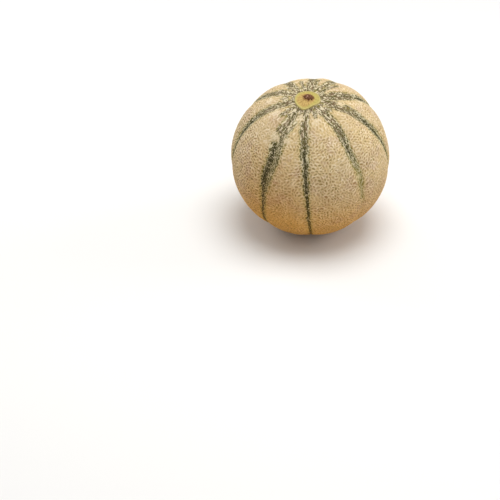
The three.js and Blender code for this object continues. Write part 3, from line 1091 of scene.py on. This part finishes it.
def shared_group(name):
    """A node group that more than one material uses, made the first time it is asked for."""
    if name in bpy.data.node_groups:
        return bpy.data.node_groups[name]
    work, inputs, outputs = GROUPS[name]
    group = bpy.data.node_groups.new(name, "ShaderNodeTree")

    def new_socket(title, way):
        kind = KINDS_OF_SOCKET.get(title, "NodeSocketFloat")
        return group.interface.new_socket(title, in_out=way, socket_type=kind)

    for title, default in inputs.items():
        socket = new_socket(title, "INPUT")
        if default is not None:
            socket.default_value = default
    for title in outputs:
        new_socket(title, "OUTPUT")
    recipe = Recipe(group)
    given = recipe.all_of(recipe.node("NodeGroupInput"))[: len(inputs)]
    result = recipe.node("NodeGroupOutput")
    for socket, value in zip(result.inputs, work(recipe, *given)):
        recipe.feed(socket, value)
    return group


def new_material(name):
    """An empty material, and a recipe to fill it."""
    material = bpy.data.materials.new(name)
    material.use_nodes = True
    material.node_tree.nodes.clear()
    return material, Recipe(material.node_tree)


def rind_material(colours):
    """Tan corky net over olive pits, and green skin in the stripes."""
    material, recipe = new_material("netted rind")
    place = recipe.place()
    cork, green = recipe.value_of("cork"), recipe.value_of("green")
    dark, tone = recipe.value_of("dark"), recipe.value_of("tone")
    light, grain = recipe.effect("Dry grain", Place=place, Scale=1.0)
    wobble = recipe.noise(place, 1300, 2, 0.6) - 0.5
    frayed = recipe.streaks((0.5, 0.22, 1), 0.6) - 0.5
    green = green + frayed * 0.9
    in_stripe = green.ramp(0.3, 0.7)
    from_stem = recipe.parts(recipe.value_of("stripe", "Vector"))[1]
    by_stem = from_stem.ramp(58, 36)

    # The lower side, tinted warmer and darker: partly a yellower ground spot, partly painted bounce
    # light and painted shade. The tint weakens to the left and right and reaches higher in a patch
    # left of the middle. And the left side, where the pits are darker with painted shade.
    x, _, z = recipe.parts(place)
    off_painted_patch = x + 0.02
    height = z + x * x * 2 - (off_painted_patch * off_painted_patch).ramp(0.0, 0.0014, 0.018, 0.0)
    low = height.ramp(0.11, 0.015)
    painted_left_shade = x.ramp(-0.022, -0.062)

    # Where there is cork: the net on the ribs, and threads, flecks and specks in the stripes.
    net = (cork + wobble * 0.7).ramp(0.4, 0.58)
    gaps = recipe.streaks((0.12, 0.06, 1)).ramp(0.4, 0.6, 0.15, 0.0)
    threads = recipe.streaks((1.1, 0.2, 1)) - gaps
    lighter = dark.ramp(0.7, 0.95, 0.03, -0.035)
    flecks = (recipe.streaks((0.7, 0.26, 1), 0.8) + lighter - threads) * by_stem
    threads = (threads + flecks).ramp(0.52, 0.58) * in_stripe
    on_cork = (net * (1 - by_stem * in_stripe * 0.85)).or_more(threads)
    ragged = wobble * 0.5
    core = recipe.value_of("core") + ragged + frayed * 0.8
    line = recipe.value_of("line") + ragged
    off_core = core.ramp(0.42, 0.54, 1.0, 0.2)
    on_cork = on_cork * (line.ramp(0.44, 0.56, 1.0, 0.06) * off_core)
    more = by_stem.ramp(1.0, 0.0, 0.0, 0.03)
    specks = (recipe.streaks((0.9, 0.42, 1), 0.7) + more).ramp(0.61, 0.65) * in_stripe
    scuffed = recipe.value_of("scuff")
    on_cork = on_cork.or_more(specks).or_more(scuffed * 0.75)
    glow = recipe.noise(place, 150, 2, 0.6).ramp(0.3, 0.6, 0.3, 1.0)
    glow = recipe.value_of("glow") * glow

    warm, _ = recipe.effect(
        "Mottle", Place=place, Scale=38.0, First=colours.cork, Second=colours.cork_yellow
    )
    dry = recipe.noise(place, 420, 2, 0.6).ramp(0.5, 0.72) * 0.55
    pale = (green.ramp(0.2, 0.9, 0.0, 0.55) * by_stem).or_more(specks).or_more(scuffed * 0.55)
    cork_colour = recipe.coats(
        warm,
        (recipe.noise(place, 55, 3, 0.6).ramp(0.5, 0.68), colours.cork_pink),
        # Pale dry patches, and the strands' tops paler: partly pale dry cork, partly painted
        # highlight on the crests.
        (recipe.maths("ADD", dry, cork.ramp(0.66, 0.95) * 0.6, clamp=True), colours.cork_light),
        (green.ramp(0.2, 0.9, 0.0, 0.85), colours.thread),
        (pale, colours.cork_light),
        (glow * 0.5, colours.fringe_light),
    )
    cork_colour = recipe.tinted(cork_colour, light * 0.22 + 0.87)

    faint = recipe.noise(place, 45, 2, 0.5).ramp(0.4, 0.65, 0.0, 0.38)
    faint = faint + from_stem.ramp(80, 35, 0.0, 0.3) + tone.ramp(0.0, 0.5, 0.5, 0.0)
    # Painted shade on the left: less pale cork shows in the pits there.
    faint = recipe.maths("SUBTRACT", faint, painted_left_shade * 0.35, clamp=True)
    pit_colour = recipe.mix(tone.ramp(0.45, 0.75), colours.pit, colours.pit_green)
    # Painted shade: the pits darker and greyer on the left side.
    pit_colour = recipe.tinted(pit_colour, recipe.mix(painted_left_shade, (1, 1, 1), (0.7, 0.7, 0.75)))
    pit_colour = recipe.coats(pit_colour, (faint, cork_colour), (glow * 0.8, colours.fringe))

    brown = recipe.streaks((0.5, 0.14, 1)).ramp(0.45, 0.57, 0.0, 0.8) * by_stem
    fresh = recipe.streaks((0.3, 0.09, 1), 0.4).ramp(0.54, 0.64, 0.0, 0.8) * by_stem
    # The stripe's line turns yellower lower down, with the lower side's painted bounce light.
    line_colour = recipe.mix(low * 0.45, colours.stripe, colours.fringe)
    stripe_colour = recipe.coats(
        colours.stripe,
        (recipe.streaks((0.7, 0.12, 1)).ramp(0.42, 0.66), colours.stripe_grey),
        (core.ramp(0.3, 0.45, 0.5, 0.0), colours.stripe_grey),
        (core.ramp(0.42, 0.55, 0.0, 0.65), colours.stripe),
        (brown, colours.stripe_brown),
        (fresh, colours.fringe),
        (dark.ramp(0.75, 0.35), colours.fringe),
        (line.ramp(0.44, 0.56), line_colour),
    )
    skin = recipe.mix(green.ramp(0.12, 0.5), pit_colour, stripe_colour)
    surface = recipe.mix(on_cork, skin, cork_colour)
    # Painted bounce light and painted shade, with a yellower ground spot: the lower side tinted
    # warmer and darker.
    surface = recipe.tinted(surface, recipe.mix(low, (1, 1, 1), colours.ground))
    recipe.surface(
        Base_Color=surface,
        Roughness=on_cork.ramp(0, 1, 0.75, 0.88),
        Specular_IOR_Level=0.15,
        Normal=recipe.relief(grain, 0.6, 0.12 * MILLIMETRE),
    )
    return material


def scar_material(colours):
    """The ochre disc with its radial furrows, brown stains and yellow-green rim."""
    material, recipe = new_material("stem scar")
    light, grain = recipe.effect("Dry grain", Place=recipe.place(), Scale=0.8)
    fibres = recipe.noise(recipe.value_of("rays", "Vector"), 9, 3, 0.6)
    uneven = fibres - 0.5
    stained = recipe.value_of("stain") + uneven * 0.9
    rim = recipe.value_of("rim") + uneven * 0.5
    furrowed = recipe.mix(fibres.ramp(0.4, 0.7), colours.disc, colours.disc_brown)
    base = recipe.coats(
        colours.disc,
        (0.45, furrowed),
        (stained.ramp(0.25, 0.85), colours.disc_brown),
        (stained.ramp(0.8, 1.15), colours.stub),
        (rim.ramp(0.3, 0.75), colours.rim),
        (recipe.value_of("crest") * 0.7, colours.rim_light),
        (recipe.value_of("edge").ramp(0.3, 0.7), colours.fringe),
    )
    recipe.surface(
        Base_Color=recipe.tinted(base, light * 0.2 + 0.88),
        Roughness=fibres.ramp(0.3, 0.7, 0.6, 0.8),
        Specular_IOR_Level=0.2,
        Normal=recipe.relief(grain + fibres, 0.5, 0.2 * MILLIMETRE),
    )
    return material


def stub_material(colours):
    """Dark, torn stem with lighter fibre ends."""
    material, recipe = new_material("broken stub")
    place = recipe.place()
    light, grain = recipe.effect("Dry grain", Place=place, Scale=0.9)
    flecks = recipe.noise(place, 620, 3, 0.65)
    torn = flecks.ramp(0.44, 0.6) * recipe.value_of("torn")
    base = recipe.mix(torn, colours.stub, colours.stub_light)
    recipe.surface(
        Base_Color=recipe.tinted(base, light * 0.5 + 0.75),
        Roughness=flecks.ramp(0.3, 0.7, 0.6, 0.9),
        Specular_IOR_Level=0.2,
        Normal=recipe.relief(grain + flecks, 0.8, 0.4 * MILLIMETRE),
    )
    return material


def button_material(colours):
    """The small brown corky button of the blossom scar."""
    material, recipe = new_material("blossom scar")
    place = recipe.place()
    ring = recipe.value_of("rim")
    light, grain = recipe.effect("Dry grain", Place=place, Scale=0.8)
    patches, mask = recipe.effect(
        "Mottle", Place=place, Scale=260.0, First=colours.button, Second=colours.button_rim
    )
    base = recipe.coats(
        patches,
        (ring.ramp(0.5, 0.9), colours.button_rim),
        (ring.ramp(0.7, 0.35, 0.0, 0.75), colours.button),
    )
    recipe.surface(
        Base_Color=recipe.tinted(base, light * 0.4 + 0.75),
        Roughness=mask.ramp(0, 1, 0.75, 0.9),
        Specular_IOR_Level=0.2,
        Normal=recipe.relief(grain, 0.8, 0.3 * MILLIMETRE),
    )
    return material


def floor_material(settings):
    """A plain pale floor."""
    material, recipe = new_material("pale floor")
    recipe.surface(Base_Color=settings.floor_colour, Roughness=0.9)
    return material


# ---- Operators ----


class MELON_OT_grow_rind(bpy.types.Operator):
    """Make the ribbed rind with its corky net and green stripes"""

    bl_idname = "melon.grow_rind"
    bl_label = "Rind"

    def execute(self, context):
        scene = context.scene
        points, triangles, values = rind_mesh(scene.melon_body, scene.melon_net, scene.melon_scars)
        mesh_piece("rind", points, triangles, rind_material(scene.melon_colours), values)
        return {"FINISHED"}


class MELON_OT_make_stem_scar(bpy.types.Operator):
    """Make the round scar where the stem came away"""

    bl_idname = "melon.make_stem_scar"
    bl_label = "Stem scar"

    def execute(self, context):
        scene = context.scene
        scar = scene.melon_scars
        edge = scar.radius + 1.5 * MILLIMETRE
        disc_piece(
            "stem_scar",
            scar_material(scene.melon_colours),
            scene.melon_body,
            lambda x, y: stem_scar_form(scar, edge, x, y),
            reach=edge,
            rings=44,
            points_round=144,
            depth=2 * MILLIMETRE,
            outline=scar_outline,
        )
        return {"FINISHED"}


class MELON_OT_make_stub(bpy.types.Operator):
    """Make the torn stub of the stem on the scar"""

    bl_idname = "melon.make_stub"
    bl_label = "Broken stub"

    def execute(self, context):
        scene = context.scene
        scar = scene.melon_scars
        disc_piece(
            "stem_stub",
            stub_material(scene.melon_colours),
            scene.melon_body,
            lambda x, y: stub_form(scar, x, y),
            reach=1.35 * scar.stub_radius,
            rings=28,
            points_round=80,
            depth=1.5 * MILLIMETRE,
            middle=STUB_MIDDLE,
        )
        return {"FINISHED"}


class MELON_OT_make_blossom_scar(bpy.types.Operator):
    """Make the small corky button at the lower end"""

    bl_idname = "melon.make_blossom_scar"
    bl_label = "Blossom scar"

    def execute(self, context):
        scene = context.scene
        scar = scene.melon_scars
        edge = scar.button_radius + 1.3 * MILLIMETRE
        disc_piece(
            "blossom_scar",
            button_material(scene.melon_colours),
            scene.melon_body,
            lambda x, y: button_form(scar, edge, x, y),
            reach=edge,
            rings=20,
            points_round=72,
            depth=1.5 * MILLIMETRE,
            end=-1,
            outline=button_outline,
        )
        return {"FINISHED"}


class MELON_OT_set_studio(bpy.types.Operator):
    """Set up the floor, the lights and the camera"""

    bl_idname = "melon.set_studio"
    bl_label = "Studio"

    def execute(self, context):
        scene = context.scene
        settings = scene.melon_studio
        self.add_floor(settings)
        self.add_lights(scene, settings)
        self.add_camera(scene, settings)
        scene.view_settings.view_transform = "Standard"
        return {"FINISHED"}

    def add_floor(self, settings):
        half = settings.floor_size / 2
        corners = [(-half, -half, 0), (half, -half, 0), (half, half, 0), (-half, half, 0)]
        mesh = bpy.data.meshes.new("floor")
        mesh.from_pydata(corners, [], [(0, 1, 2, 3)])
        mesh.materials.append(floor_material(settings))
        floor = placed("floor", mesh)

    def add_lights(self, scene, settings):
        world = bpy.data.worlds.new("studio")
        world.use_nodes = True
        background = world.node_tree.nodes["Background"]
        background.inputs["Color"].default_value = (1, 1, 1, 1)
        background.inputs["Strength"].default_value = settings.world_strength
        scene.world = world
        # Round soft lights that face the melon's middle: the power, size and place of each.
        lights = {
            "key": (settings.key_power, 1.0, (0.1, 0.0, 1.3)),
            "left": (settings.left_power, 0.8, (-1.1, 0.5, 0.6)),
            "right": (settings.right_power, 0.8, (1.1, 0.6, 0.6)),
        }
        for name, (power, size, place) in lights.items():
            lamp = bpy.data.lights.new(name, "AREA")
            lamp.shape = "DISK"
            lamp.size = size
            lamp.energy = power
            light = placed(name, lamp)
            light.location = place
            target = light.location.copy()
            target.z -= scene.melon_body.centre_height
            light.rotation_mode = "QUATERNION"
            light.rotation_quaternion = target.to_track_quat("Z", "Y")

    def add_camera(self, scene, settings):
        lens = bpy.data.cameras.new("camera")
        lens.lens = settings.camera_lens
        lens.sensor_width = 36
        camera = placed("camera", lens)
        camera.location = settings.camera_place
        camera.rotation_euler = (math.pi / 2 - settings.camera_pitch, 0, settings.camera_turn)
        scene.camera = camera


class MELON_PT_sidebar(bpy.types.Panel):
    """The melon's pieces and their settings"""

    bl_idname = "MELON_PT_sidebar"
    bl_label = "Cantaloupe melon"
    bl_space_type = "VIEW_3D"
    bl_region_type = "UI"
    bl_category = "Melon"

    def draw(self, context):
        for operator in OPERATORS:
            self.layout.operator(operator.bl_idname)
        for name in SETTINGS:
            group = getattr(context.scene, name)
            box = self.layout.box()
            for setting in group.__annotations__:
                box.prop(group, setting)


SETTINGS = {
    "melon_body": MelonBodySizes,
    "melon_net": MelonNetSizes,
    "melon_scars": MelonScarSizes,
    "melon_colours": MelonColours,
    "melon_studio": MelonStudioSettings,
}
OPERATORS = (
    MELON_OT_grow_rind,
    MELON_OT_make_stem_scar,
    MELON_OT_make_stub,
    MELON_OT_make_blossom_scar,
    MELON_OT_set_studio,
)


def register():
    for item in (*SETTINGS.values(), *OPERATORS, MELON_PT_sidebar):
        bpy.utils.register_class(item)
    for name, group in SETTINGS.items():
        setattr(bpy.types.Scene, name, PointerProperty(type=group))


def unregister():
    for name in SETTINGS:
        delattr(bpy.types.Scene, name)
    for item in (MELON_PT_sidebar, *reversed(OPERATORS), *reversed(SETTINGS.values())):
        bpy.utils.unregister_class(item)


def main():
    register()
    bpy.ops.melon.grow_rind()
    bpy.ops.melon.make_stem_scar()
    bpy.ops.melon.make_stub()
    bpy.ops.melon.make_blossom_scar()
    bpy.ops.melon.set_studio()


if __name__ == "__main__":
    main()
